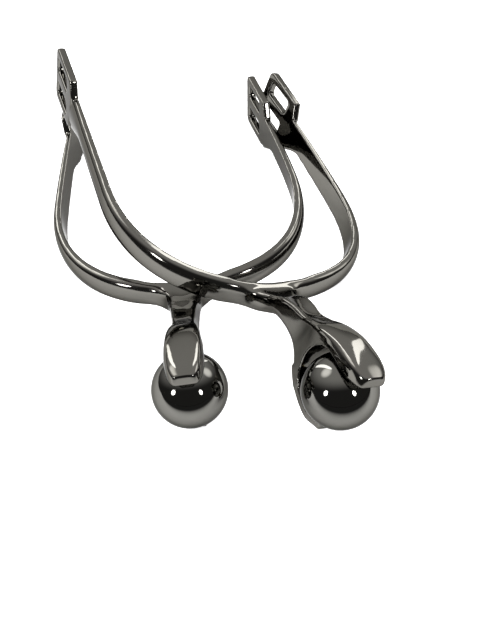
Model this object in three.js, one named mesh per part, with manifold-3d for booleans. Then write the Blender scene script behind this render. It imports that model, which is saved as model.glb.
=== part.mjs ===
// A pair of roller-ball riding spurs, one laid over the other.
// Each spur is one casting: heel band, two strap plates, neck and fork. A ball turns on a pin in the fork.
// Millimetres, +Z up, standing on z = 0 with the necks pointing along -Y.
import * as THREE from "three";
import { mergeVertices } from "three/addons/utils/BufferGeometryUtils.js";
import Module from "manifold-3d";

const wasm = await Module();
wasm.setup();

// Heel band, in one spur's own frame: X across, +Y to the toe, Z up, origin in the band at the heel.
const band = {
  halfWidth: 42.8,
  sideReach: 33,
  armReach: 13,
  endPull: 0.03,
  heelHeight: 8.6,
  endHeight: 7.9,
  heelThickness: 4.3,
  endThickness: 2.9,
  innerRadius: 0.5,
  outerRadius: 1.3,
  endRise: 5.7,
  heelLean: -0.05,
  endLean: -0.09,
  steps: 44,
  cornerSegments: 2,
};
// The left arm of each spur is the longer one.
const arms = {
  left: {
    side: -1,
    endHalfWidth: 40.6,
    endY: 96.5,
    widestY: 46.6,
    heelReach: 20.5,
    extraDepth: 1,
    taperLength: 18,
  },
  right: {
    side: 1,
    endHalfWidth: 37.4,
    endY: 87.7,
    widestY: 41.6,
    heelReach: 23,
    extraDepth: 0,
    taperLength: 14,
  },
};

// Strap plate, in its own plane: s runs on along the arm, v runs up.
const plate = {
  length: 23.9,
  top: 10.1,
  bottom: -10.2,
  thickness: 2.9,
  footInset: 0.1,
  lowerCorner: 1,
  cornerRadius: 2.6,
  riserFoot: -2.2,
  riserTop: 0.7,
  riserHeight: 9.4,
  taperEnd: 3,
  overlap: 1,
  slotStart: 5.2,
  slotLength: 15,
  slotHeight: 5,
  upperSlotBottom: 2,
  lowerSlotBottom: -7.3,
  slotRadius: 1.4,
  curveSegments: 4,
};

// Ball, at its reach behind the heel.
const ball = { radius: 10.9, reach: 48.7, boreRadius: 2.7, recessRadius: 3.8, recessDepth: 0.75 };
const ballSegments = { around: 32, down: 18 };

// Neck and upper prong, as heights of the top and the underside at distances behind the heel.
// Heights are for a ball centre at neckDatum, and the neck bends to carry the ball higher or lower.
const neckDatum = 10;
const neckBendLength = 16;
const neck = {
  top: [[0, 4], [-3, 4.3], [-7, 6], [-12, 11], [-16, 13.6], [-20, 14.2], [-24.5, 14.3], [-28, 16.6], [-35, 20.9],
    [-42, 24.1], [-48, 25.5], [-54, 25.8], [-59, 25]],
  underside: [[0, -3.9], [-4, -3], [-9, 1], [-13, 4], [-18, 5.3], [-22, 5.1], [-25, 4.3], [-28, 2.6], [-31, 0],
    [-34, -2.4], [-36, -3], [-38, 4], [-41, 18], [-46, 21], [-59, 22]],
  halfWidth: [[0, 9.5], [-2, 8.2], [-4, 6], [-8, 5], [-14, 4.7], [-24, 4.4], [-30, 4.7], [-40, 5], [-48, 5.1],
    [-54, 4.4], [-57.5, 3], [-59, 1.6]],
  lowerWidening: 1.08,
  cornerRadius: 0.4,
  steps: 30,
};

// Lower prong: its centre line from the neck, behind the ball and under it, from the ball centre.
const lowerProng = {
  path: [[17, -7.6], [13.6, -11.2], [9, -13.2], [4, -13.6], [-1.7, -12.8]],
  halfWidthRoot: 4.9,
  halfWidthTip: 3.2,
  halfThicknessRoot: 2.2,
  halfThicknessTip: 1.5,
  thinBy: 0.5,
  taperFrom: 0.72,
  cornerRadius: 0.45,
  steps: 12,
};

// Pocket between the prongs, from the ball centre: flat over and under the ball, open behind it.
const pocket = {
  halfHeight: 11.5,
  mouth: -24,
  mouthFlare: 1.2,
  flatEnd: 3,
  back: 14.6,
  backHeight: -2,
  backRound: 2,
  width: 44,
  curveSegments: 8,
};

// Pin through both prongs and the ball, with a flanged bush pressed into each side of the ball.
const pin = { radius: 1.6, tilt: 9, bottom: -14.4, top: 13.8, clearance: 0.06, endGap: 0.3, segments: 24 };
const bush = { wall: 0.7, flangeRadius: 3.4, flangeThickness: 0.6, length: 8.5, gap: 0.3, segments: 24 };

// How each spur lies. The under spur is level; the upper one leans across its neck.
const groundClearance = 8;
const underSpur = {
  rise: 6.3,
  spread: { left: -0.3, right: -0.3 },
  turn: 0,
  roll: -1,
  pitch: -1.35,
  x: 0,
  y: 0,
  z: groundClearance,
};
const upperSpur = {
  rise: 10,
  spread: { left: 2.2, right: 3.4 },
  turn: 14.8,
  roll: 17.8,
  pitch: 5.1,
  x: 26.7,
  y: -10,
  z: groundClearance + 4.1,
};

// Middle of the pair, seen from above, from the heel of the under spur.
const pairCentre = { x: 8.65, y: 25.85 };

// How far a cutting shape runs past the surface that it cuts.
const cutRunOut = 5;

// Corners closer than these are one corner: in a plain shape, and in a cut one.
const weldSize = 1e-4;
const sliverSize = 0.01;

const samplesPerPoint = 12;

const up = new THREE.Vector3(0, 0, 1);

function toSolid(geometry) {
  const bare = geometry.clone();
  bare.deleteAttribute("normal");
  bare.deleteAttribute("uv");
  const merged = mergeVertices(bare, weldSize);
  return new wasm.Manifold(new wasm.Mesh({
    numProp: 3,
    vertProperties: new Float32Array(merged.attributes.position.array),
    triVerts: new Uint32Array(merged.index.array),
  }));
}

function geometryOf(solid) {
  const mesh = solid.getMesh();
  const geometry = new THREE.BufferGeometry();
  geometry.setAttribute("position", new THREE.BufferAttribute(mesh.vertProperties, 3));
  geometry.setIndex(new THREE.BufferAttribute(mesh.triVerts, 1));
  return geometry;
}

// A solid as a geometry, with the slivers that a cut leaves closed up and any crumb of them dropped.
function toGeometry(solid) {
  const welded = mergeVertices(geometryOf(solid), sliverSize);
  const corners = welded.index.array;
  const kept = [];
  for (let corner = 0; corner < corners.length; corner += 3) {
    const [a, b, c] = corners.slice(corner, corner + 3);
    if (a !== b && b !== c && c !== a) {
      kept.push(a, b, c);
    }
  }
  const clean = new wasm.Manifold(new wasm.Mesh({
    numProp: 3,
    vertProperties: new Float32Array(welded.attributes.position.array),
    triVerts: new Uint32Array(kept),
  }));
  const bodies = clean.decompose();
  bodies.sort((one, other) => other.volume() - one.volume());
  const geometry = geometryOf(bodies[0]);
  geometry.computeVertexNormals();
  return geometry;
}

// A rectangle centred on the origin with its own radius at the left and right corners.
function sectionShape(width, height, leftRadius, rightRadius) {
  const x = width / 2;
  const y = height / 2;
  const shape = new THREE.Shape();
  shape.moveTo(-x + leftRadius, -y);
  shape.lineTo(x - rightRadius, -y);
  shape.absarc(x - rightRadius, -y + rightRadius, rightRadius, -Math.PI / 2, 0, false);
  shape.lineTo(x, y - rightRadius);
  shape.absarc(x - rightRadius, y - rightRadius, rightRadius, 0, Math.PI / 2, false);
  shape.lineTo(-x + leftRadius, y);
  shape.absarc(-x + leftRadius, y - leftRadius, leftRadius, Math.PI / 2, Math.PI, false);
  shape.lineTo(-x, -y + leftRadius);
  shape.absarc(-x + leftRadius, -y + leftRadius, leftRadius, Math.PI, 1.5 * Math.PI, false);
  return shape;
}

// An extruded section whose every point is then placed by a function of its place in the section
// and of how far along it is, from 0 to 1. A mirrored placing turns the faces round again.
function loft(shape, steps, curveSegments, place, mirrored = false) {
  const geometry = new THREE.ExtrudeGeometry(shape, { depth: 1, steps, curveSegments, bevelEnabled: false });
  const position = geometry.attributes.position;
  const point = new THREE.Vector3();
  for (let index = 0; index < position.count; index += 1) {
    place(position.getX(index), position.getY(index), position.getZ(index), point);
    position.setXYZ(index, point.x, point.y, point.z);
  }
  if (mirrored) {
    for (let corner = 0; corner < position.count; corner += 3) {
      point.fromBufferAttribute(position, corner);
      position.copyAt(corner, position, corner + 1);
      position.setXYZ(corner + 1, point.x, point.y, point.z);
    }
  }
  return toSolid(geometry);
}

// The value at a distance along a list of [distance, value] pairs that runs downwards, eased by a spline.
function profile(points) {
  const curve = new THREE.SplineCurve(points.map(([distance, value]) => new THREE.Vector2(distance, value)));
  const samples = curve.getPoints(points.length * samplesPerPoint);
  return (distance) => {
    const next = samples.findIndex((sample) => sample.x <= distance);
    if (next < 0) {
      return samples[samples.length - 1].y;
    }
    if (next === 0) {
      return samples[0].y;
    }
    const before = samples[next - 1];
    const after = samples[next];
    return THREE.MathUtils.mapLinear(distance, before.x, after.x, before.y, after.y);
  };
}

// One arm of the band, from the heel to the start of its plate.
function armCurves(arm, spread) {
  const endX = arm.endHalfWidth + spread;
  const point = (x, y) => new THREE.Vector3(arm.side * x, y, 0);
  const bend = point(band.halfWidth, arm.widestY + band.armReach);
  const end = point(endX, arm.endY);
  const heel = new THREE.CubicBezierCurve3(
    point(0, 0),
    point(arm.heelReach, 0),
    point(band.halfWidth, arm.widestY - band.sideReach),
    point(band.halfWidth, arm.widestY),
  );
  const side = new THREE.CubicBezierCurve3(
    point(band.halfWidth, arm.widestY),
    bend,
    end.clone().lerp(bend, band.endPull),
    end,
  );
  const path = new THREE.CurvePath();
  path.add(heel);
  path.add(side);
  return path;
}

// The band from the left plate round the heel to the right one: height and thickness fall away from the heel,
// each arm rises to its plate, and its lower edge runs down into the plate.
function makeBand(spread) {
  const paths = { left: armCurves(arms.left, spread.left), right: armCurves(arms.right, spread.right) };
  const taperDepth = -plate.bottom - band.endHeight / 2;
  const section = sectionShape(1, 1, band.innerRadius / band.heelThickness, band.outerRadius / band.heelThickness);
  return loft(section, band.steps, band.cornerSegments, (across, along, t, point) => {
    const label = t < 0.5 ? "left" : "right";
    const arm = arms[label];
    const path = paths[label];
    const length = path.getLength();
    const fromHeel = Math.abs(2 * t - 1);
    const thickness = THREE.MathUtils.lerp(band.heelThickness, band.endThickness, fromHeel);
    const height = THREE.MathUtils.lerp(band.heelHeight, band.endHeight, fromHeel);
    const lean = THREE.MathUtils.lerp(band.heelLean, band.endLean, fromHeel);
    const tangent = path.getTangentAt(fromHeel);
    const outward = new THREE.Vector3(arm.side * tangent.y, -arm.side * tangent.x, 0);
    const taper = THREE.MathUtils.smoothstep(fromHeel * length, length - arm.taperLength, length + plate.taperEnd);
    const extraDepth = taper * taperDepth + Math.sin(Math.PI * fromHeel) * arm.extraDepth;
    const out = across * thickness;
    const rise = along * height - (0.5 - along) * extraDepth;
    point.copy(path.getPointAt(fromHeel));
    point.addScaledVector(outward, out * Math.cos(lean) - rise * Math.sin(lean));
    point.z = band.endRise * fromHeel + out * Math.sin(lean) + rise * Math.cos(lean);
  }, true);
}

function slotPath(bottom) {
  const left = plate.slotStart;
  const right = plate.slotStart + plate.slotLength;
  const top = bottom + plate.slotHeight;
  const radius = plate.slotRadius;
  const path = new THREE.Path();
  path.moveTo(left + radius, bottom);
  path.lineTo(right - radius, bottom);
  path.absarc(right - radius, bottom + radius, radius, -Math.PI / 2, 0, false);
  path.absarc(right - radius, top - radius, radius, 0, Math.PI / 2, false);
  path.absarc(left + radius, top - radius, radius, Math.PI / 2, Math.PI, false);
  path.absarc(left + radius, bottom + radius, radius, Math.PI, 1.5 * Math.PI, false);
  return path;
}

// A strap plate at the end of an arm: a sharp riser up from the band, rounded far corners and two slots.
function makePlate(arm, spread) {
  const outline = new THREE.Shape();
  const halfHeight = band.endHeight / 2 - plate.footInset;
  const far = plate.length - plate.cornerRadius;
  outline.moveTo(-plate.overlap, -halfHeight);
  outline.lineTo(0, plate.bottom + plate.lowerCorner);
  outline.lineTo(plate.taperEnd, plate.bottom);
  outline.lineTo(far, plate.bottom);
  outline.absarc(far, plate.bottom + plate.cornerRadius, plate.cornerRadius, -Math.PI / 2, 0, false);
  outline.absarc(far, plate.top - plate.cornerRadius, plate.cornerRadius, 0, Math.PI / 2, false);
  outline.lineTo(plate.riserTop, plate.riserHeight);
  outline.lineTo(plate.riserFoot, halfHeight);
  outline.holes.push(slotPath(plate.upperSlotBottom), slotPath(plate.lowerSlotBottom));
  const geometry = new THREE.ExtrudeGeometry(outline, {
    depth: plate.thickness,
    curveSegments: plate.curveSegments,
    bevelEnabled: false,
  });
  geometry.translate(0, 0, -plate.thickness / 2);
  const path = armCurves(arm, spread);
  const end = path.getPointAt(1);
  const along = path.getTangentAt(1);
  const outward = new THREE.Vector3(arm.side * along.y, -arm.side * along.x, 0);
  const rise = up.clone().multiplyScalar(Math.cos(band.endLean)).addScaledVector(outward, -Math.sin(band.endLean));
  const placing = new THREE.Matrix4().makeBasis(along, rise, new THREE.Vector3().crossVectors(along, rise));
  placing.setPosition(end.x, end.y, band.endRise);
  geometry.applyMatrix4(placing);
  return toSolid(geometry);
}

// The neck bends to bring the ball to its height.
function neckDrop(distance, rise) {
  return (rise - neckDatum) * THREE.MathUtils.smoothstep(-distance, 0, neckBendLength);
}

function makeNeck(rise) {
  const top = profile(neck.top);
  const underside = profile(neck.underside);
  const halfWidth = profile(neck.halfWidth);
  const start = neck.top[0][0];
  const finish = neck.top[neck.top.length - 1][0];
  const section = sectionShape(1, 1, neck.cornerRadius / 2, neck.cornerRadius / 2);
  return loft(section, neck.steps, band.cornerSegments, (across, along, t, point) => {
    const distance = THREE.MathUtils.lerp(start, finish, t);
    const middle = (top(distance) + underside(distance)) / 2;
    const height = top(distance) - underside(distance);
    const widening = THREE.MathUtils.lerp(neck.lowerWidening, 1, along + 0.5);
    const x = 2 * across * halfWidth(distance) * widening;
    point.set(x, distance, middle + along * height + neckDrop(distance, rise));
  });
}

function makeLowerProng(rise) {
  const points = lowerProng.path.map(([y, z]) => new THREE.Vector3(0, y - ball.reach, z + rise));
  const path = new THREE.CatmullRomCurve3(points, false, "centripetal");
  const sideways = new THREE.Vector3(1, 0, 0);
  const section = sectionShape(1, 1, lowerProng.cornerRadius / 2, lowerProng.cornerRadius / 2);
  return loft(section, lowerProng.steps, band.cornerSegments, (across, along, t, point) => {
    const taper = THREE.MathUtils.smoothstep(t, lowerProng.taperFrom, 1);
    const halfWidth = THREE.MathUtils.lerp(lowerProng.halfWidthRoot, lowerProng.halfWidthTip, taper);
    const thin = THREE.MathUtils.smoothstep(t, 0, lowerProng.thinBy);
    const halfThickness = THREE.MathUtils.lerp(lowerProng.halfThicknessRoot, lowerProng.halfThicknessTip, thin);
    const normal = new THREE.Vector3().crossVectors(path.getTangentAt(t), sideways);
    point.copy(path.getPointAt(t));
    point.addScaledVector(sideways, 2 * across * halfWidth);
    point.addScaledVector(normal, 2 * along * halfThickness);
  });
}

// The space the ball turns in, cut straight through the fork from side to side.
function makePocket(rise) {
  const outline = new THREE.Shape();
  const height = pocket.halfHeight;
  outline.moveTo(pocket.mouth, height + pocket.mouthFlare);
  outline.lineTo(pocket.mouth, -height);
  outline.lineTo(pocket.flatEnd, -height);
  outline.bezierCurveTo(
    pocket.back - pocket.backRound,
    -height,
    pocket.back,
    pocket.backHeight - height / 2,
    pocket.back,
    pocket.backHeight,
  );
  outline.bezierCurveTo(
    pocket.back,
    pocket.backHeight + height / 2,
    pocket.flatEnd + height / 2,
    height,
    pocket.flatEnd,
    height,
  );
  outline.lineTo(-pocket.flatEnd, height);
  const geometry = new THREE.ExtrudeGeometry(outline, {
    depth: pocket.width,
    curveSegments: pocket.curveSegments,
    bevelEnabled: false,
  });
  const placing = new THREE.Matrix4().makeBasis(
    new THREE.Vector3(0, 1, 0),
    new THREE.Vector3(0, 0, 1),
    new THREE.Vector3(1, 0, 0),
  );
  placing.setPosition(-pocket.width / 2, -ball.reach, rise);
  geometry.applyMatrix4(placing);
  return toSolid(geometry);
}

// Sets a shape made about the Y axis on the pin's leaning line, from the ball centre.
function setOnPinLine(geometry, rise) {
  geometry.rotateX(Math.PI / 2 + THREE.MathUtils.degToRad(pin.tilt));
  geometry.translate(0, -ball.reach, rise);
  return toSolid(geometry);
}

// A round solid about the pin's line, between two heights along it from the ball centre.
function pinLineCylinder(radius, bottom, top, rise, segments) {
  const geometry = new THREE.CylinderGeometry(radius, radius, top - bottom, segments);
  geometry.translate(0, (top + bottom) / 2, 0);
  return setOnPinLine(geometry, rise);
}

function makeYoke(rise, spread) {
  const yoke = makeBand(spread).add(makePlate(arms.left, spread.left)).add(makePlate(arms.right, spread.right));
  const fork = makeNeck(rise).add(makeLowerProng(rise)).subtract(makePocket(rise));
  const hole = pinLineCylinder(
    pin.radius + pin.clearance + pin.endGap,
    pin.bottom - cutRunOut,
    pin.top + pin.endGap,
    rise,
    pin.segments,
  );
  return toGeometry(yoke.add(fork).subtract(hole));
}

function makeBall(rise) {
  const geometry = new THREE.SphereGeometry(ball.radius, ballSegments.around, ballSegments.down);
  const reach = ball.radius + cutRunOut;
  const flat = ball.radius - ball.recessDepth;
  const bore = pinLineCylinder(ball.boreRadius, -reach, reach, rise, pin.segments);
  const topRecess = pinLineCylinder(ball.recessRadius, flat, reach, rise, pin.segments);
  const bottomRecess = pinLineCylinder(ball.recessRadius, -reach, -flat, rise, pin.segments);
  return toGeometry(setOnPinLine(geometry, rise).subtract(bore).subtract(topRecess).subtract(bottomRecess));
}

function makePin(rise) {
  return toGeometry(pinLineCylinder(pin.radius, pin.bottom, pin.top, rise, pin.segments));
}

// A flanged bush: a sleeve inside the ball with a thrust flange outside its flat.
function makeBush(rise, end) {
  const inner = pin.radius + pin.clearance;
  const outer = inner + bush.wall;
  const seat = ball.radius - ball.recessDepth + bush.gap;
  const profilePoints = [
    [inner, seat - bush.length],
    [outer, seat - bush.length],
    [outer, seat],
    [bush.flangeRadius, seat],
    [bush.flangeRadius, seat + bush.flangeThickness],
    [inner, seat + bush.flangeThickness],
    [inner, seat - bush.length],
  ];
  const geometry = new THREE.LatheGeometry(profilePoints.map(([r, z]) => new THREE.Vector2(r, z)), bush.segments);
  if (end < 0) {
    geometry.rotateX(Math.PI);
  }
  return toGeometry(setOnPinLine(geometry, rise));
}

function steel(color, roughness) {
  return new THREE.MeshStandardMaterial({ color, roughness, metalness: 1 });
}

function makeSpur(label, pose) {
  const spur = new THREE.Group();
  const pieces = [
    ["yoke", makeYoke(pose.rise, pose.spread), steel(0x6a6864, 0.12)],
    ["roller_ball", makeBall(pose.rise), steel(0x62605d, 0.08)],
    ["axle_pin", makePin(pose.rise), steel(0x8a8987, 0.25)],
    ["upper_bush", makeBush(pose.rise, 1), steel(0x9a8a5e, 0.35)],
    ["lower_bush", makeBush(pose.rise, -1), steel(0x9a8a5e, 0.35)],
  ];
  for (const [piece, geometry, material] of pieces) {
    const mesh = new THREE.Mesh(geometry, material);
    mesh.name = `${label}_${piece}`;
    spur.add(mesh);
  }
  const toRadians = THREE.MathUtils.degToRad;
  spur.rotation.set(toRadians(pose.pitch), toRadians(pose.roll), toRadians(pose.turn), "ZYX");
  spur.position.set(pose.x, pose.y, pose.z);
  return spur;
}

const spurs = new THREE.Group();
spurs.position.set(-pairCentre.x, -pairCentre.y, 0);
spurs.add(makeSpur("under", underSpur));
spurs.add(makeSpur("upper", upperSpur));

export default spurs;
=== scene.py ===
import bisect
import math

import bmesh
import bpy
from mathutils import Matrix, Vector


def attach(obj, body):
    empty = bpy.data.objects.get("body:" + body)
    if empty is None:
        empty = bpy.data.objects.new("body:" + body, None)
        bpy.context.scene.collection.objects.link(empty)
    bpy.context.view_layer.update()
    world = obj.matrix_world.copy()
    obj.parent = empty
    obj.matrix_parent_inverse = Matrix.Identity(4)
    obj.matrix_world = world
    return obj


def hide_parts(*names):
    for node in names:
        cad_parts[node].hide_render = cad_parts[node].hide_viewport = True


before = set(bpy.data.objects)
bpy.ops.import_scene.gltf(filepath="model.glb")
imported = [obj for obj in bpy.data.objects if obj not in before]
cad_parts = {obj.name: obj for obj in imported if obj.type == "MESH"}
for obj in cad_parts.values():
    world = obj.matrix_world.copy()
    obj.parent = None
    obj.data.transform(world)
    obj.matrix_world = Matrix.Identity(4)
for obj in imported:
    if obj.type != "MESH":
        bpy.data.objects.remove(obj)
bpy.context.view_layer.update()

# Shapes are worked out in millimetres, in a spur's own frame, and set in metres in the row frame.
mm = 0.001
print("frame loaded:", len(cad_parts), "nodes")

camera = {
    "place": (3.72, -244.67, 204.64),
    "towards": (0.02029, 0.71686, -0.69692),
    "up": (0.11920, 0.69036, 0.71358),
    "lens": 50.85,
    "sensor": 36,
    "shift": (-0.0078, 0.0034),
    "nearest": 0.01,
}


def setCamera():
    data = bpy.data.cameras.new("camera")
    data.lens = camera["lens"]
    data.sensor_width = camera["sensor"]
    data.shift_x, data.shift_y = camera["shift"]
    data.clip_start = camera["nearest"]
    eye = bpy.data.objects.new("camera", data)
    bpy.context.scene.collection.objects.link(eye)
    back = -Vector(camera["towards"]).normalized()
    right = Vector(camera["up"]).cross(back).normalized()
    up = back.cross(right)
    turn = Matrix((right, up, back)).transposed().to_4x4()
    eye.matrix_world = Matrix.Translation(Vector(camera["place"]) * mm) @ turn
    bpy.context.scene.camera = eye


setCamera()
print("camera set")


def lerp(a, b, t):
    return a + (b - a) * t


def ease(value, start, end):
    t = min(max((value - start) / (end - start), 0), 1)
    return t * t * (3 - 2 * t)


def bezier(a, b, c, d, t):
    s = 1 - t
    return a * (s * s * s) + b * (3 * s * s * t) + c * (3 * s * t * t) + d * (t * t * t)


def spline(points, perSpan=16):
    # A smooth line through the points, as closely spaced points.
    ends = [points[0] * 2 - points[1]] + points + [points[-1] * 2 - points[-2]]
    line = []
    for i in range(1, len(points)):
        a, b, c, d = ends[i - 1], ends[i], ends[i + 1], ends[i + 2]
        for step in range(perSpan):
            t = step / perSpan
            square = (2 * a - 5 * b + 4 * c - d) * t ** 2
            cube = (3 * b - a - 3 * c + d) * t ** 3
            line.append(0.5 * (2 * b + (c - a) * t + square + cube))
    return line + [points[-1]]


def profile(pairs):
    # The value at a distance from the heel, from (distance, value) pairs whose distances run downwards.
    line = spline([Vector(pair) for pair in pairs])
    keys = [-point.x for point in line]

    def at(distance):
        place = min(max(bisect.bisect_left(keys, -distance), 1), len(line) - 1)
        a, b = line[place - 1], line[place]
        share = (distance - a.x) / (b.x - a.x) if b.x != a.x else 0
        return lerp(a.y, b.y, min(max(share, 0), 1))

    return at


class Path:
    # Points along a line with places by share of its length.
    def __init__(self, points):
        self.points = points
        self.reach = [0]
        for a, b in zip(points, points[1:]):
            self.reach.append(self.reach[-1] + (b - a).length)
        self.length = self.reach[-1]

    def at(self, share):
        reach = min(max(share, 0), 1) * self.length
        place = min(max(bisect.bisect_left(self.reach, reach), 1), len(self.points) - 1)
        start, end = self.reach[place - 1], self.reach[place]
        return self.points[place - 1].lerp(self.points[place], (reach - start) / (end - start))

    def tangent(self, share):
        nearby = 0.004
        return (self.at(share + nearby) - self.at(share - nearby)).normalized()


def loft(ring, steps, place):
    # A tube of one closed ring of section places, set by a function of the place and of the share along it.
    mesh = bmesh.new()
    rows = []
    for step in range(steps + 1):
        rows.append([mesh.verts.new(place(spot, step / steps)) for spot in ring])
    count = len(ring)
    for low, high in zip(rows, rows[1:]):
        for i in range(count):
            j = (i + 1) % count
            mesh.faces.new((low[i], low[j], high[j], high[i]))
    mesh.faces.new(list(reversed(rows[0])))
    mesh.faces.new(rows[-1])
    bmesh.ops.recalc_face_normals(mesh, faces=mesh.faces)
    return mesh


def toObject(mesh, name):
    data = bpy.data.meshes.new(name)
    mesh.to_mesh(data)
    mesh.free()
    made = bpy.data.objects.new(name, data)
    bpy.context.scene.collection.objects.link(made)
    return made


def drop(thing):
    data = thing.data
    bpy.data.objects.remove(thing)
    if data.users == 0 and isinstance(data, bpy.types.Mesh):
        bpy.data.meshes.remove(data)


def applyModifiers(thing):
    graph = bpy.context.evaluated_depsgraph_get()
    data = bpy.data.meshes.new_from_object(thing.evaluated_get(graph), depsgraph=graph)
    thing.modifiers.clear()
    thing.data = data
    return thing


def combine(thing, other, operation):
    change = thing.modifiers.new(operation, "BOOLEAN")
    change.operation = operation
    change.solver = "EXACT"
    change.object = other
    applyModifiers(thing)
    drop(other)
    return thing


def joined(things):
    mesh = bmesh.new()
    for thing in things:
        mesh.from_mesh(thing.data)
    name = things[0].name
    for thing in things:
        drop(thing)
    return toObject(mesh, name)


def sectionRing(perCorner, perWidth, perHeight):
    # Places round a rectangle with rounded corners: (across, along) of the corner's centre from -1 to 1,
    # and the direction in which its rounding pushes the place out.
    ring = []
    corners = [(1, -1, -90), (1, 1, 0), (-1, 1, 90), (-1, -1, 180)]
    for index, (across, along, start) in enumerate(corners):
        for step in range(perCorner + 1):
            angle = math.radians(start + 90 * step / perCorner)
            ring.append((across, along, math.cos(angle), math.sin(angle)))
        nextAcross, nextAlong, nextStart = corners[(index + 1) % 4]
        parts = perHeight if across == nextAcross else perWidth
        angle = math.radians(start + 90)
        for step in range(1, parts):
            share = step / parts
            spot = (lerp(across, nextAcross, share), lerp(along, nextAlong, share))
            ring.append((*spot, math.cos(angle), math.sin(angle)))
    return ring


def sectionPoint(spot, halfWidth, halfHeight, radius):
    mostRound = 0.95
    radius = min(radius, mostRound * halfWidth, mostRound * halfHeight)
    across, along, pushAcross, pushAlong = spot
    x = across * (halfWidth - radius) + pushAcross * radius
    y = along * (halfHeight - radius) + pushAlong * radius
    return x, y


# How each spur is bent, and how it lies: its turn about Z, roll about Y and pitch about X, and its heel.
spurs = {
    "under": {
        "rise": 6.3,
        "spread": {"left": -0.3, "right": -0.3},
        "turn": 0,
        "roll": -1,
        "pitch": -1.35,
        "heel": (-8.65, -25.85, 8),
    },
    "upper": {
        "rise": 10,
        "spread": {"left": 2.2, "right": 3.4},
        "turn": 14.8,
        "roll": 17.8,
        "pitch": 5.1,
        "heel": (18.05, -35.85, 12.1),
    },
}


def placing(spur):
    turns = [("Z", "turn"), ("Y", "roll"), ("X", "pitch")]
    matrix = Matrix.Translation(Vector(spur["heel"]) * mm)
    for axis, name in turns:
        matrix = matrix @ Matrix.Rotation(math.radians(spur[name]), 4, axis)
    return matrix @ Matrix.Scale(mm, 4)


band = {
    "halfWidth": 42.8,
    "sideReach": 33,
    "armReach": 13,
    "endPull": 0.03,
    "heelHeight": 8.7,
    "endHeight": 7.9,
    "heelThickness": 4.4,
    "endThickness": 2.9,
    "innerRadius": 0.4,
    "outerRadius": 1.3,
    "bulge": 0.3,
    "endRise": 5.7,
    "heelLean": -0.05,
    "endLean": -0.09,
    "curveSteps": 120,
    "steps": 260,
}
# The left arm of each spur is the longer one.
arms = {
    "left": {
        "side": -1,
        "endHalfWidth": 40.6,
        "endY": 96.5,
        "widestY": 46.6,
        "heelReach": 20.5,
        "extraDepth": 1,
        "taperLength": 18,
    },
    "right": {
        "side": 1,
        "endHalfWidth": 37.4,
        "endY": 87.7,
        "widestY": 41.6,
        "heelReach": 23,
        "extraDepth": 0,
        "taperLength": 14,
    },
}
plate = {
    "length": 23.9,
    "top": 10.1,
    "bottom": -10.2,
    "thickness": 2.9,
    "cornerRadius": 2.6,
    "edgeRound": 0.55,
    "roundSteps": 3,
    "weldSize": 0.001,
    "footInset": 0.1,
    "lowerCorner": 1,
    "riserFoot": -2.2,
    "riserTop": (0.7, 9.4),
    "taperEnd": 3,
    "overlap": 1,
    "slotStart": 5.2,
    "slotLength": 15,
    "slotHeight": 5,
    "slotBottoms": (2, -7.3),
    "slotRadius": 1.4,
}


def armPath(arm, spread):
    side = arm["side"]
    wide = band["halfWidth"]
    widest = arm["widestY"]
    end = Vector((side * (arm["endHalfWidth"] + spread), arm["endY"], 0))
    bend = Vector((side * wide, widest + band["armReach"], 0))
    heel = (Vector((0, 0, 0)), Vector((side * arm["heelReach"], 0, 0)),
            Vector((side * wide, widest - band["sideReach"], 0)), Vector((side * wide, widest, 0)))
    leg = (heel[3], bend, end.lerp(bend, band["endPull"]), end)
    parts = band["curveSteps"]
    points = [bezier(*heel, step / parts) for step in range(parts)]
    points += [bezier(*leg, step / parts) for step in range(parts + 1)]
    return Path(points)


def makeBand(spread):
    paths = {label: armPath(arms[label], spread[label]) for label in arms}

    def place(spot, t):
        arm = arms["left" if t < 0.5 else "right"]
        path = paths["left" if t < 0.5 else "right"]
        share = abs(2 * t - 1)
        thickness = lerp(band["heelThickness"], band["endThickness"], share)
        height = lerp(band["heelHeight"], band["endHeight"], share)
        lean = lerp(band["heelLean"], band["endLean"], share)
        tangent = path.tangent(share)
        outward = Vector((arm["side"] * tangent.y, -arm["side"] * tangent.x, 0))
        if share == 0:
            outward = Vector((0, -1, 0))
        taperStart, taperFinish = path.length - arm["taperLength"], path.length + plate["taperEnd"]
        taper = ease(share * path.length, taperStart, taperFinish)
        taperDepth = -plate["bottom"] - band["endHeight"] / 2
        extraDepth = taper * taperDepth + math.sin(math.pi * share) * arm["extraDepth"]
        radius = lerp(band["innerRadius"], band["outerRadius"], spot[0] / 2 + 0.5)
        out, rise = sectionPoint(spot, thickness / 2, height / 2, radius)
        along = rise / height
        out -= band["bulge"] * (2 * along) ** 2 * (out + thickness / 2)
        rise -= (0.5 - along) * extraDepth
        point = path.at(share) + outward * (out * math.cos(lean) - rise * math.sin(lean))
        point.z = band["endRise"] * share + out * math.sin(lean) + rise * math.cos(lean)
        return point

    ring = sectionRing(perCorner=5, perWidth=6, perHeight=10)
    return toObject(loft(ring, band["steps"], place), "band")


def arcPoints(centre, radius, start, end, steps=8):
    points = []
    for step in range(steps + 1):
        angle = math.radians(lerp(start, end, step / steps))
        points.append((centre[0] + radius * math.cos(angle), centre[1] + radius * math.sin(angle)))
    return points


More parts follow.
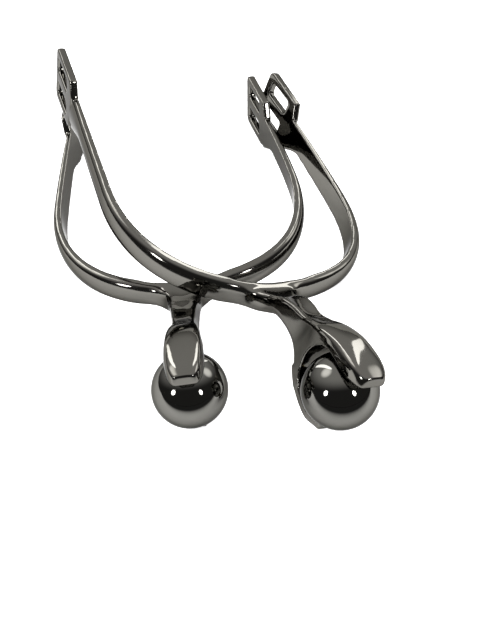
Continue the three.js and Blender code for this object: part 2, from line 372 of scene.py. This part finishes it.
def makePlate(arm, spread):
    halfHeight = band["endHeight"] / 2 - plate["footInset"]
    far = plate["length"] - plate["cornerRadius"]
    top, bottom, corner = plate["top"], plate["bottom"], plate["cornerRadius"]
    outline = [
        (-plate["overlap"], -halfHeight),
        (0, bottom + plate["lowerCorner"]),
        (plate["taperEnd"], bottom),
    ]
    outline += arcPoints((far, bottom + corner), corner, -90, 0)
    outline += arcPoints((far, top - corner), corner, 0, 90)
    outline += [plate["riserTop"], (plate["riserFoot"], halfHeight)]
    outlines = [outline]
    left, radius = plate["slotStart"], plate["slotRadius"]
    right = left + plate["slotLength"]
    for low in plate["slotBottoms"]:
        high = low + plate["slotHeight"]
        slot = arcPoints((right - radius, low + radius), radius, -90, 0)
        slot += arcPoints((right - radius, high - radius), radius, 0, 90)
        slot += arcPoints((left + radius, high - radius), radius, 90, 180)
        slot += arcPoints((left + radius, low + radius), radius, 180, 270)
        outlines.append(slot)
    curve = bpy.data.curves.new("plate", "CURVE")
    curve.dimensions = "2D"
    curve.fill_mode = "BOTH"
    curve.extrude = plate["thickness"] / 2 - plate["edgeRound"]
    curve.bevel_depth = plate["edgeRound"]
    curve.bevel_resolution = plate["roundSteps"]
    curve.offset = -plate["edgeRound"]
    for points in outlines:
        line = curve.splines.new("POLY")
        line.points.add(len(points) - 1)
        for spot, (x, y) in zip(line.points, points):
            spot.co = (x, y, 0, 1)
        line.use_cyclic_u = True
    drawn = bpy.data.objects.new("plate", curve)
    bpy.context.scene.collection.objects.link(drawn)
    graph = bpy.context.evaluated_depsgraph_get()
    data = bpy.data.meshes.new_from_object(drawn.evaluated_get(graph), depsgraph=graph)
    bpy.data.objects.remove(drawn)
    bpy.data.curves.remove(curve)
    mesh = bmesh.new()
    mesh.from_mesh(data)
    bpy.data.meshes.remove(data)
    bmesh.ops.remove_doubles(mesh, verts=mesh.verts, dist=plate["weldSize"])
    path = armPath(arm, spread)
    along = path.tangent(1)
    outward = Vector((arm["side"] * along.y, -arm["side"] * along.x, 0))
    rise = Vector((0, 0, 1)) * math.cos(band["endLean"]) - outward * math.sin(band["endLean"])
    end = path.at(1)
    end.z = band["endRise"]
    turn = Matrix((along, rise, along.cross(rise))).transposed().to_4x4()
    mesh.transform(Matrix.Translation(end) @ turn)
    bmesh.ops.recalc_face_normals(mesh, faces=mesh.faces)
    return toObject(mesh, "plate")


# Each pair in a profile is a distance from the heel and a value there, in the line of the neck.
# The pairs called From and To are the distances behind the heel between which a change eases in or out.
neck = {
    "datum": 10,
    "bendLength": 16,
    "top": [
        (1.6, 4), (-2.4, 4.7), (-6.5, 7), (-12, 11), (-18, 13.7), (-24, 15.3), (-29, 18.1),
        (-35, 22.3), (-42, 25.4), (-48, 26.7), (-54, 27), (-59, 26.3),
    ],
    "underside": [
        (1.6, -4), (-3.5, -3.1), (-9, 1), (-13, 4), (-18, 5.3), (-22, 5.1), (-25, 4.3), (-28, 2.6),
        (-31, 0), (-34, -2.4), (-36, -3), (-38, 4), (-41, 18), (-46, 21), (-54, 21.6), (-59, 22.6),
    ],
    "halfWidth": [
        (1.6, 4.9), (-8, 4.8), (-14, 4.3), (-20, 3.7), (-25, 3.4), (-29, 3.7), (-33, 4.5),
        (-38, 5), (-45, 5.2), (-51, 5.2), (-59, 5),
    ],
    "fillet": 6.5,
    "wrap": 0.012,
    "wrapTo": (3, 10),
    "rootThinning": 0.035,
    "tipFrom": 49,
    "tipShare": 0.55,
    "lowerWidening": 1.08,
    "edgeRadius": 1.1,
    "petalRadius": 0.9,
    "petalFrom": (24, 36),
    "saddle": 0.7,
    "saddleFrom": (0, 7),
    "saddleTo": (19, 31),
    "dome": 1.5,
    "domeFrom": (25, 36),
    "domeTo": (48, 58),
    "domeAtTip": 0.5,
    "domePower": 3,
    "bunching": (1.3, 1.25),
    "steps": 190,
}


def neckHalfWidth(distance, along, profileWidth):
    # A fillet into the band at the root, the waisted neck, the petal, and its blunt tip.
    width = profileWidth(distance)
    fillet = neck["fillet"]
    gap = -band["heelThickness"] / 2 - distance
    if gap < fillet:
        width += fillet - math.sqrt(max(fillet ** 2 - (fillet - max(gap, 0)) ** 2, 0))
    tip = (-distance - neck["tipFrom"]) / (-neck["top"][-1][0] - neck["tipFrom"])
    if tip > 0:
        width *= lerp(neck["tipShare"], 1, math.sqrt(max(1 - tip ** 2, 0)))
    return width * lerp(neck["lowerWidening"], 1, along / 2 + 0.5)


def makeNeck(rise):
    top, underside, profileWidth = (profile(neck[name]) for name in ("top", "underside", "halfWidth"))
    start, end = neck["top"][0][0], neck["top"][-1][0]

    def place(spot, t):
        bunchStart, bunchEnd = neck["bunching"]
        distance = lerp(start, end, 1 - (1 - t ** bunchStart) ** bunchEnd)
        behind = -distance
        high, low = top(distance), underside(distance)
        width = neckHalfWidth(distance, spot[1], profileWidth)
        radius = lerp(neck["edgeRadius"], neck["petalRadius"], ease(behind, *neck["petalFrom"]))
        x, z = sectionPoint(spot, width, (high - low) / 2, radius)
        bend = (rise - neck["datum"]) * ease(behind, 0, neck["bendLength"])
        upper = max(0, spot[1])
        inside = max(0, 1 - spot[0] ** 2) * upper
        saddle = neck["saddle"] * ease(behind, *neck["saddleFrom"]) * (1 - ease(behind, *neck["saddleTo"]))
        dome = neck["dome"] * ease(behind, *neck["domeFrom"])
        dome *= 1 - neck["domeAtTip"] * ease(behind, *neck["domeTo"])
        dome *= min(1, abs(x) / width) ** neck["domePower"] * upper
        flare = max(0, abs(x) - profileWidth(distance))
        z *= 1 - neck["rootThinning"] * flare
        wrap = neck["wrap"] * x ** 2 * (1 - ease(behind, *neck["wrapTo"]))
        height = (high + low) / 2 + z + bend - saddle * inside - dome
        return Vector((x, distance + wrap, height))

    ring = sectionRing(perCorner=5, perWidth=16, perHeight=5)
    return toObject(loft(ring, neck["steps"], place), "neck")


ball = {
    "radius": 10.9,
    "reach": 48.7,
    "bore": 2.7,
    "recess": 3.8,
    "recessDepth": 0.75,
    "lip": 0.15,
    "rings": 72,
    "segments": 128,
}
lowerProng = {
    "path": [(17, -7.6), (13.6, -11.2), (9, -13.2), (4, -13.6), (-1.7, -12.8)],
    "halfWidths": (4.9, 3.2),
    "halfThicknesses": (2.2, 1.5),
    "thinBy": 0.5,
    "taperFrom": 0.72,
    "edgeRadius": 0.5,
    "steps": 50,
}


def makeLowerProng(rise):
    path = Path(spline([Vector((0, y - ball["reach"], z + rise)) for y, z in lowerProng["path"]]))
    endInset = 0.01

    def place(spot, t):
        width = lerp(*lowerProng["halfWidths"], ease(t, lowerProng["taperFrom"], 1))
        thickness = lerp(*lowerProng["halfThicknesses"], ease(t, 0, lowerProng["thinBy"]))
        normal = path.tangent(min(max(t, endInset), 1 - endInset)).cross(Vector((1, 0, 0)))
        x, out = sectionPoint(spot, width, thickness, lowerProng["edgeRadius"])
        return path.at(t) + Vector((x, 0, 0)) + normal * out

    ring = sectionRing(perCorner=4, perWidth=8, perHeight=4)
    return toObject(loft(ring, lowerProng["steps"], place), "prong")


pocket = {
    "halfHeight": 11.5,
    "mouth": -24,
    "mouthFlare": 1.2,
    "flatEnd": 3,
    "back": 14.6,
    "backHeight": -2,
    "backRound": 2,
    "width": 44,
    "steps": 24,
}


def makePocket(rise):
    height, back, flat = pocket["halfHeight"], pocket["back"], pocket["flatEnd"]
    corner = [Vector((flat, -height)), Vector((back - pocket["backRound"], -height)),
              Vector((back, pocket["backHeight"] - height / 2)), Vector((back, pocket["backHeight"]))]
    upper = [corner[3], Vector((back, pocket["backHeight"] + height / 2)),
             Vector((flat + height / 2, height)), Vector((flat, height))]
    outline = [Vector((pocket["mouth"], height + pocket["mouthFlare"])), Vector((pocket["mouth"], -height))]
    outline += [bezier(*corner, step / pocket["steps"]) for step in range(pocket["steps"])]
    outline += [bezier(*upper, step / pocket["steps"]) for step in range(pocket["steps"] + 1)]
    outline.append(Vector((-flat, height)))
    mesh = bmesh.new()
    sides = []
    for x in (-pocket["width"] / 2, pocket["width"] / 2):
        sides.append([mesh.verts.new((x, y - ball["reach"], z + rise)) for y, z in outline])
    count = len(outline)
    for i in range(count):
        j = (i + 1) % count
        mesh.faces.new((sides[0][i], sides[0][j], sides[1][j], sides[1][i]))
    mesh.faces.new(sides[0])
    mesh.faces.new(sides[1])
    bmesh.ops.recalc_face_normals(mesh, faces=mesh.faces)
    return toObject(mesh, "pocket")


def turned(points, segments, closed):
    # A profile of (radius, height) pairs turned about the pin's line through the origin.
    mesh = bmesh.new()
    rings = []
    for radius, height in points:
        if radius == 0:
            rings.append([mesh.verts.new((0, 0, height))])
            continue
        ring = []
        for step in range(segments):
            angle = 2 * math.pi * step / segments
            ring.append(mesh.verts.new((radius * math.cos(angle), radius * math.sin(angle), height)))
        rings.append(ring)
    pairs = list(zip(rings, rings[1:]))
    if closed:
        pairs.append((rings[-1], rings[0]))
    for low, high in pairs:
        for i in range(segments):
            j = (i + 1) % segments
            corners = [low[i % len(low)], low[j % len(low)], high[j % len(high)], high[i % len(high)]]
            mesh.faces.new(list(dict.fromkeys(corners)))
    bmesh.ops.recalc_face_normals(mesh, faces=mesh.faces)
    return mesh


pin = {
    "radius": 1.6,
    "tilt": 9,
    "bottom": -14.4,
    "top": 13.8,
    "clearance": 0.06,
    "endGap": 0.3,
    "chamfer": 0.3,
    "segments": 48,
    "holeSegments": 40,
    "runOut": 5,
}


def onPinLine(mesh, rise):
    lean = Matrix.Rotation(math.radians(pin["tilt"]), 4, "X")
    mesh.transform(Matrix.Translation((0, -ball["reach"], rise)) @ lean)
    return mesh


def makeHole(rise):
    radius = pin["radius"] + pin["clearance"] + pin["endGap"]
    top, bottom = pin["top"] + pin["endGap"], pin["bottom"] - pin["runOut"]
    points = [(0, bottom), (radius, bottom), (radius, top), (0, top)]
    return toObject(onPinLine(turned(points, pin["holeSegments"], False), rise), "hole")


def finishPiece(thing, label, material, body, nodes, sharp=35):
    thing.data.transform(placing(spurs[label]))
    thing.data.materials.clear()
    thing.data.materials.append(material)
    thing.data.shade_smooth()
    thing.data.set_sharp_from_angle(angle=math.radians(sharp))
    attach(thing, body)
    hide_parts(*nodes)
    return thing


finish = {
    "voxel": 0.36,
    "smoothing": 0.5,
    "passes": 3,
    "rootPasses": 110,
    "rootReach": 18,
    "rootFade": 8,
    "sharpAngle": 60,
}


def blendRoot(casting):
    # The neck runs into the band with no line between them.
    near, far = finish["rootReach"] - finish["rootFade"], finish["rootReach"]
    group = casting.vertex_groups.new(name="root")
    centre = Vector((0, -band["heelThickness"] / 2, 0))
    for vertex in casting.data.vertices:
        weight = 1 - ease((vertex.co - centre).length, near, far)
        if weight > 0:
            group.add([vertex.index], weight, "REPLACE")
    smooth = casting.modifiers.new("blend", "SMOOTH")
    smooth.vertex_group = group.name
    smooth.factor = finish["smoothing"]
    smooth.iterations = finish["rootPasses"]
    applyModifiers(casting)
    casting.vertex_groups.clear()


def makeYoke(label, material):
    spur = spurs[label]
    fork = combine(makeNeck(spur["rise"]), makeLowerProng(spur["rise"]), "UNION")
    fork = combine(fork, makePocket(spur["rise"]), "DIFFERENCE")
    fork = combine(fork, makeHole(spur["rise"]), "DIFFERENCE")
    plates = [makePlate(arms[side], spur["spread"][side]) for side in arms]
    casting = joined([makeBand(spur["spread"])] + plates + [fork])
    casting.name = label + "_casting"
    remesh = casting.modifiers.new("remesh", "REMESH")
    remesh.mode = "VOXEL"
    remesh.voxel_size = finish["voxel"]
    smooth = casting.modifiers.new("smooth", "SMOOTH")
    smooth.factor = finish["smoothing"]
    smooth.iterations = finish["passes"]
    applyModifiers(casting)
    blendRoot(casting)
    part = label + "_spur"
    finishPiece(casting, label, material, part, [label + "_yoke"], finish["sharpAngle"])
    print(label, "casting:", len(casting.data.polygons), "faces")


def makeBall(label, material):
    radius, lip = ball["radius"], ball["lip"]
    flat = radius - ball["recessDepth"]
    edge = math.degrees(math.asin(ball["recess"] / flat))
    points = []
    for step in range(ball["rings"] + 1):
        angle = math.radians(lerp(90 - edge, edge - 90, step / ball["rings"]))
        points.append((radius * math.cos(angle), radius * math.sin(angle)))
    points += [(ball["recess"], -flat - lip), (ball["recess"] - lip, -flat), (ball["bore"] + lip, -flat),
               (ball["bore"], -flat + lip), (ball["bore"], flat - lip), (ball["bore"] + lip, flat),
               (ball["recess"] - lip, flat), (ball["recess"], flat + lip)]
    mesh = onPinLine(turned(points, ball["segments"], True), spurs[label]["rise"])
    thing = toObject(mesh, label + "_ball")
    finishPiece(thing, label, material, label + "_ball", [label + "_roller_ball"])


def makePin(label, material):
    radius, chamfer, top, bottom = pin["radius"], pin["chamfer"], pin["top"], pin["bottom"]
    points = [(0, bottom), (radius - chamfer, bottom), (radius, bottom + chamfer), (radius, top - chamfer),
              (radius - chamfer, top), (0, top)]
    mesh = onPinLine(turned(points, pin["segments"], False), spurs[label]["rise"])
    thing = toObject(mesh, label + "_pin")
    finishPiece(thing, label, material, label + "_spur", [label + "_axle_pin"])


bush = {
    "wall": 0.7,
    "flangeRadius": 3.4,
    "flangeThickness": 0.6,
    "length": 8.5,
    "gap": 0.3,
    "rounding": 0.12,
    "segments": 48,
}


def makeBush(label, end, material):
    inner = pin["radius"] + pin["clearance"]
    outer = inner + bush["wall"]
    seat = ball["radius"] - ball["recessDepth"] + bush["gap"]
    foot, head = seat - bush["length"], seat + bush["flangeThickness"]
    flange, rounding = bush["flangeRadius"], bush["rounding"]
    points = [
        (inner, foot + rounding), (inner + rounding, foot),
        (outer - rounding, foot), (outer, foot + rounding), (outer, seat),
        (flange - rounding, seat), (flange, seat + rounding),
        (flange, head - rounding), (flange - rounding, head),
        (inner + rounding, head), (inner, head - rounding),
    ]
    sign = 1 if end == "upper" else -1
    points = [(radius, sign * height) for radius, height in points]
    mesh = onPinLine(turned(points, bush["segments"], True), spurs[label]["rise"])
    thing = toObject(mesh, f"{label}_{end}_bushing")
    finishPiece(thing, label, material, label + "_ball", [f"{label}_{end}_bush"])


def socket(group, name, kind, direction, value=None):
    made = group.interface.new_socket(name=name, in_out=direction, socket_type=kind)
    if value is not None:
        made.default_value = value


# How the metal is worn, and where shade is painted: where smears, scratches and rubbed edges begin and end,
# and where the painted shade in recesses and under nearby parts begins and ends.
wearAndShadeLook = {
    "smearDetail": 5,
    "smearRoughness": 0.6,
    "smearRange": (0.3, 0.75),
    "scratchStretch": (1, 0.12, 1.6),
    "scratchTurn": (0.3, 0.2, 0.5),
    "scratchDetail": 3,
    "scratchDepth": 0.00002,
    "edgeSamples": 6,
    "edgeRange": (0.995, 0.93),
    "paintedShadeSamples": 8,
    # Painted shade in recesses and under nearby parts:
    "paintedShadeReach": 0.005,
    "paintedShadeRange": (0.65, 0.35),
}


def makeWearAndShadeGroup():
    # Fine wipe marks, faint smears, edges rubbed bright and painted shade in recesses and under nearby
    # parts, as masks from 0 to 1 and a height.
    group = bpy.data.node_groups.new("handling wear", "ShaderNodeTree")
    socket(group, "Smear scale", "NodeSocketFloat", "INPUT", 60)
    socket(group, "Scratch scale", "NodeSocketFloat", "INPUT", 900)
    socket(group, "Edge width", "NodeSocketFloat", "INPUT", 0.0006)
    socket(group, "Smear", "NodeSocketFloat", "OUTPUT")
    socket(group, "Scratch", "NodeSocketFloat", "OUTPUT")
    socket(group, "Edge", "NodeSocketFloat", "OUTPUT")
    socket(group, "Painted shade", "NodeSocketFloat", "OUTPUT")
    nodes, links = group.nodes, group.links
    given = nodes.new("NodeGroupInput")
    result = nodes.new("NodeGroupOutput")
    place = nodes.new("ShaderNodeTexCoord")
    smear = nodes.new("ShaderNodeTexNoise")
    smear.inputs["Detail"].default_value = wearAndShadeLook["smearDetail"]
    smear.inputs["Roughness"].default_value = wearAndShadeLook["smearRoughness"]
    links.new(place.outputs["Object"], smear.inputs["Vector"])
    links.new(given.outputs["Smear scale"], smear.inputs["Scale"])
    links.new(smear.outputs["Fac"], result.inputs["Smear"])
    stretch = nodes.new("ShaderNodeMapping")
    stretch.inputs["Scale"].default_value = wearAndShadeLook["scratchStretch"]
    stretch.inputs["Rotation"].default_value = wearAndShadeLook["scratchTurn"]
    scratch = nodes.new("ShaderNodeTexNoise")
    scratch.inputs["Detail"].default_value = wearAndShadeLook["scratchDetail"]
    links.new(place.outputs["Object"], stretch.inputs["Vector"])
    links.new(stretch.outputs["Vector"], scratch.inputs["Vector"])
    links.new(given.outputs["Scratch scale"], scratch.inputs["Scale"])
    links.new(scratch.outputs["Fac"], result.inputs["Scratch"])
    bevel = nodes.new("ShaderNodeBevel")
    bevel.samples = wearAndShadeLook["edgeSamples"]
    links.new(given.outputs["Edge width"], bevel.inputs["Radius"])
    surface = nodes.new("ShaderNodeNewGeometry")
    match = nodes.new("ShaderNodeVectorMath")
    match.operation = "DOT_PRODUCT"
    links.new(bevel.outputs["Normal"], match.inputs[0])
    links.new(surface.outputs["Normal"], match.inputs[1])
    edge = nodes.new("ShaderNodeMapRange")
    edge.inputs["From Min"].default_value = wearAndShadeLook["edgeRange"][0]
    edge.inputs["From Max"].default_value = wearAndShadeLook["edgeRange"][1]
    links.new(match.outputs["Value"], edge.inputs["Value"])
    links.new(edge.outputs["Result"], result.inputs["Edge"])
    # Painted shade: a mask that rises where the surface is hemmed in by its own recesses or by nearby
    # parts, to darken it there.
    paintedShadeOcclusion = nodes.new("ShaderNodeAmbientOcclusion")
    paintedShadeOcclusion.samples = wearAndShadeLook["paintedShadeSamples"]
    paintedShadeOcclusion.inputs["Distance"].default_value = wearAndShadeLook["paintedShadeReach"]
    recess = nodes.new("ShaderNodeMapRange")
    recess.inputs["From Min"].default_value = wearAndShadeLook["paintedShadeRange"][0]
    recess.inputs["From Max"].default_value = wearAndShadeLook["paintedShadeRange"][1]
    links.new(paintedShadeOcclusion.outputs["AO"], recess.inputs["Value"])
    links.new(recess.outputs["Result"], result.inputs["Painted shade"])
    return group


wearAndShadeGroup = makeWearAndShadeGroup()


def makeMetal(name, look):
    material = bpy.data.materials.new(name)
    material.use_nodes = True
    nodes, links = material.node_tree.nodes, material.node_tree.links
    shader = nodes["Principled BSDF"]
    shader.inputs["Metallic"].default_value = 1
    shader.inputs["Specular Tint"].default_value = (look["grazing"],) * 3 + (1,)
    wearAndShade = nodes.new("ShaderNodeGroup")
    wearAndShade.node_tree = wearAndShadeGroup
    wearAndShade.inputs["Smear scale"].default_value = look["smearScale"]
    wearAndShade.inputs["Scratch scale"].default_value = look["scratchScale"]
    wearAndShade.inputs["Edge width"].default_value = look["edgeWidth"]
    tone = nodes.new("ShaderNodeMix")
    tone.data_type = "RGBA"
    tone.inputs["A"].default_value = (*look["color"], 1)
    tone.inputs["B"].default_value = (*look["smearColor"], 1)
    links.new(wearAndShade.outputs["Smear"], tone.inputs["Factor"])
    rubbed = nodes.new("ShaderNodeMix")
    rubbed.data_type = "RGBA"
    rubbed.inputs["B"].default_value = (*look["edgeColor"], 1)
    links.new(wearAndShade.outputs["Edge"], rubbed.inputs["Factor"])
    links.new(tone.outputs["Result"], rubbed.inputs["A"])
    # Painted shade: the colour goes to the near-black shade colour in recesses and under nearby parts.
    paintedShadeMix = nodes.new("ShaderNodeMix")
    paintedShadeMix.data_type = "RGBA"
    paintedShadeMix.inputs["B"].default_value = (*look["paintedShadeColor"], 1)
    links.new(wearAndShade.outputs["Painted shade"], paintedShadeMix.inputs["Factor"])
    links.new(rubbed.outputs["Result"], paintedShadeMix.inputs["A"])
    links.new(paintedShadeMix.outputs["Result"], shader.inputs["Base Color"])
    rough = nodes.new("ShaderNodeMapRange")
    rough.inputs["From Min"].default_value = wearAndShadeLook["smearRange"][0]
    rough.inputs["From Max"].default_value = wearAndShadeLook["smearRange"][1]
    rough.inputs["To Min"].default_value = look["roughness"][0]
    rough.inputs["To Max"].default_value = look["roughness"][1]
    links.new(wearAndShade.outputs["Smear"], rough.inputs["Value"])
    links.new(rough.outputs["Result"], shader.inputs["Roughness"])
    bump = nodes.new("ShaderNodeBump")
    bump.inputs["Strength"].default_value = look["bump"]
    bump.inputs["Distance"].default_value = wearAndShadeLook["scratchDepth"]
    links.new(wearAndShade.outputs["Scratch"], bump.inputs["Height"])
    links.new(bump.outputs["Normal"], shader.inputs["Normal"])
    return material


gunmetal = {
    "color": (0.135, 0.131, 0.119),
    "smearColor": (0.118, 0.115, 0.106),
    "edgeColor": (0.2, 0.195, 0.185),
    # The shade colour is painted shade in recesses and under nearby parts.
    "paintedShadeColor": (0.014, 0.014, 0.013),
    "grazing": 0.37,
    "roughness": (0.05, 0.12),
    "smearScale": 70,
    "scratchScale": 1400,
    "edgeWidth": 0.0005,
    "bump": 0.04,
}
ballMetal = dict(
    gunmetal,
    color=(0.138, 0.136, 0.126),
    smearColor=(0.124, 0.122, 0.114),
    # Painted shade on the ball, lighter than on the casting, where the fork and bushes come near.
    paintedShadeColor=(0.07, 0.068, 0.065),
    roughness=(0.03, 0.07),
    bump=0.02,
)
pinMetal = dict(gunmetal, color=(0.4, 0.39, 0.38), roughness=(0.2, 0.32), bump=0.3)
brass = dict(gunmetal, color=(0.5, 0.38, 0.16), smearColor=(0.4, 0.3, 0.13), edgeColor=(0.6, 0.48, 0.25),
             roughness=(0.25, 0.4), bump=0.3)

castMaterial = makeMetal("polished gunmetal casting", gunmetal)
ballMaterial = makeMetal("polished gunmetal ball", ballMetal)
pinMaterial = makeMetal("ground steel pin", pinMetal)
bushMaterial = makeMetal("turned brass bush", brass)

for label in spurs:
    makeYoke(label, castMaterial)
    makeBall(label, ballMaterial)
    makePin(label, pinMaterial)
    for end in ("upper", "lower"):
        makeBush(label, end, bushMaterial)
print("pieces made")

studio = {
    "floorColor": (0.93, 0.93, 0.93),
    "floorRoughness": 0.9,
    "floorSpecular": 0.1,
    "floorReach": 8,
    "floorDrop": 0.0002,
    "floorLift": 0.7,
    "flagFrom": -0.1,
    "flagFade": 0.06,
    "flagReach": 8.4,
    "flagTone": 0.03,
    "paleTowards": (0, 0.55, 0.83),
    "paleFrom": 0.2,
    "paleAll": 0.8,
    "darkTone": 0.07,
    "paleTone": 1,
    "lightColor": (1, 0.99, 0.97),
}
glows = [
    {"towards": (-0.43, 0.34, 0.64), "outerAngle": 17, "innerAngle": 2, "strength": 3.4},
    {"towards": (0.64, 0.27, 0.44), "outerAngle": 16, "innerAngle": 2, "strength": 3.2},
]
lamps = [
    {"name": "left lamp", "place": (-0.58, -0.46, 0.4), "size": (0.15, 0.2), "power": 2.2},
    {"name": "right lamp", "place": (0.44, -0.62, 0.4), "size": (0.12, 0.2), "power": 2},
    {"name": "back left window", "place": (-0.62, 1, 0.75), "size": (0.2, 1.5), "power": 5.5},
    {"name": "back right window", "place": (0.62, 1, 0.75), "size": (0.2, 1.5), "power": 5},
    {
        "name": "overhead softbox", "place": (0, 0.1, 1.6), "size": (2.6, 2.2), "power": 38,
        "floorOnly": True,
    },
]


def makeFloor():
    # The floor is lit up to white for the camera, so that shadows on it stay faint.
    mesh = bmesh.new()
    bmesh.ops.create_grid(mesh, x_segments=1, y_segments=1, size=studio["floorReach"])
    floor = toObject(mesh, "floor")
    floor.location.z = -studio["floorDrop"]
    material = bpy.data.materials.new("pale floor")
    material.use_nodes = True
    nodes, links = material.node_tree.nodes, material.node_tree.links
    shader = nodes["Principled BSDF"]
    shader.inputs["Base Color"].default_value = (*studio["floorColor"], 1)
    shader.inputs["Roughness"].default_value = studio["floorRoughness"]
    shader.inputs["Specular IOR Level"].default_value = studio["floorSpecular"]
    shader.inputs["Emission Color"].default_value = (1, 1, 1, 1)
    seen = nodes.new("ShaderNodeLightPath")
    lift = nodes.new("ShaderNodeMath")
    lift.operation = "MULTIPLY"
    lift.inputs[1].default_value = studio["floorLift"]
    links.new(seen.outputs["Is Camera Ray"], lift.inputs[0])
    links.new(lift.outputs["Value"], shader.inputs["Emission Strength"])
    floor.data.materials.append(material)


def makeWorld():
    # A dark room low in front, where the viewer stands, and a pale ceiling and far wall.
    world = bpy.data.worlds.new("room")
    bpy.context.scene.world = world
    world.use_nodes = True
    nodes, links = world.node_tree.nodes, world.node_tree.links
    background = nodes["Background"]
    place = nodes.new("ShaderNodeTexCoord")
    height = nodes.new("ShaderNodeVectorMath")
    height.operation = "DOT_PRODUCT"
    height.inputs[1].default_value = studio["paleTowards"]
    links.new(place.outputs["Generated"], height.inputs[0])
    tone = nodes.new("ShaderNodeMapRange")
    tone.interpolation_type = "SMOOTHSTEP"
    tone.inputs["From Min"].default_value = studio["paleFrom"]
    tone.inputs["From Max"].default_value = studio["paleAll"]
    tone.inputs["To Min"].default_value = studio["darkTone"]
    tone.inputs["To Max"].default_value = studio["paleTone"]
    links.new(height.outputs["Value"], tone.inputs["Value"])
    total = tone.outputs["Result"]
    for glow in glows:
        match = nodes.new("ShaderNodeVectorMath")
        match.operation = "DOT_PRODUCT"
        match.inputs[1].default_value = Vector(glow["towards"]).normalized()
        links.new(place.outputs["Generated"], match.inputs[0])
        soft = nodes.new("ShaderNodeMapRange")
        soft.interpolation_type = "SMOOTHSTEP"
        soft.inputs["From Min"].default_value = math.cos(math.radians(glow["outerAngle"]))
        soft.inputs["From Max"].default_value = math.cos(math.radians(glow["innerAngle"]))
        soft.inputs["To Max"].default_value = glow["strength"]
        links.new(match.outputs["Value"], soft.inputs["Value"])
        added = nodes.new("ShaderNodeMath")
        links.new(total, added.inputs[0])
        links.new(soft.outputs["Result"], added.inputs[1])
        total = added.outputs["Value"]
    links.new(total, background.inputs["Strength"])
    background.inputs["Color"].default_value = (*studio["lightColor"], 1)


def makeFlag():
    # A dark cloth on the floor in front, which only reflections see.
    mesh = bmesh.new()
    half, near, far = studio["flagReach"], studio["flagFrom"], studio["flagFrom"] - studio["flagReach"]
    corners = [(-half, far), (half, far), (half, near), (-half, near)]
    mesh.faces.new([mesh.verts.new((x, y, 0)) for x, y in corners])
    flag = toObject(mesh, "flag")
    material = bpy.data.materials.new("dark cloth")
    material.use_nodes = True
    nodes, links = material.node_tree.nodes, material.node_tree.links
    shader = nodes["Principled BSDF"]
    shader.inputs["Roughness"].default_value = 1
    shader.inputs["Specular IOR Level"].default_value = 0
    place = nodes.new("ShaderNodeTexCoord")
    split = nodes.new("ShaderNodeSeparateXYZ")
    links.new(place.outputs["Object"], split.inputs["Vector"])
    fade = nodes.new("ShaderNodeMapRange")
    fade.interpolation_type = "SMOOTHSTEP"
    fade.inputs["From Min"].default_value = near
    fade.inputs["From Max"].default_value = near - studio["flagFade"]
    fade.inputs["To Min"].default_value = studio["floorColor"][0]
    fade.inputs["To Max"].default_value = studio["flagTone"]
    links.new(split.outputs["Y"], fade.inputs["Value"])
    links.new(fade.outputs["Result"], shader.inputs["Base Color"])
    flag.data.materials.append(material)
    flag.visible_camera = False
    flag.visible_diffuse = False
    flag.visible_shadow = False


def addLamp(lamp):
    data = bpy.data.lights.new(lamp["name"], "AREA")
    data.shape = "ELLIPSE"
    data.size, data.size_y = lamp["size"]
    data.energy = lamp["power"]
    made = bpy.data.objects.new(lamp["name"], data)
    bpy.context.scene.collection.objects.link(made)
    made.location = lamp["place"]
    made.visible_glossy = not lamp.get("floorOnly", False)
    made.rotation_euler = (-Vector(lamp["place"])).to_track_quat("-Z", "Y").to_euler()


makeFloor()
makeFlag()
makeWorld()
for lamp in lamps:
    addLamp(lamp)
bpy.context.scene.view_settings.view_transform = "Standard"
print("floor and lights made")
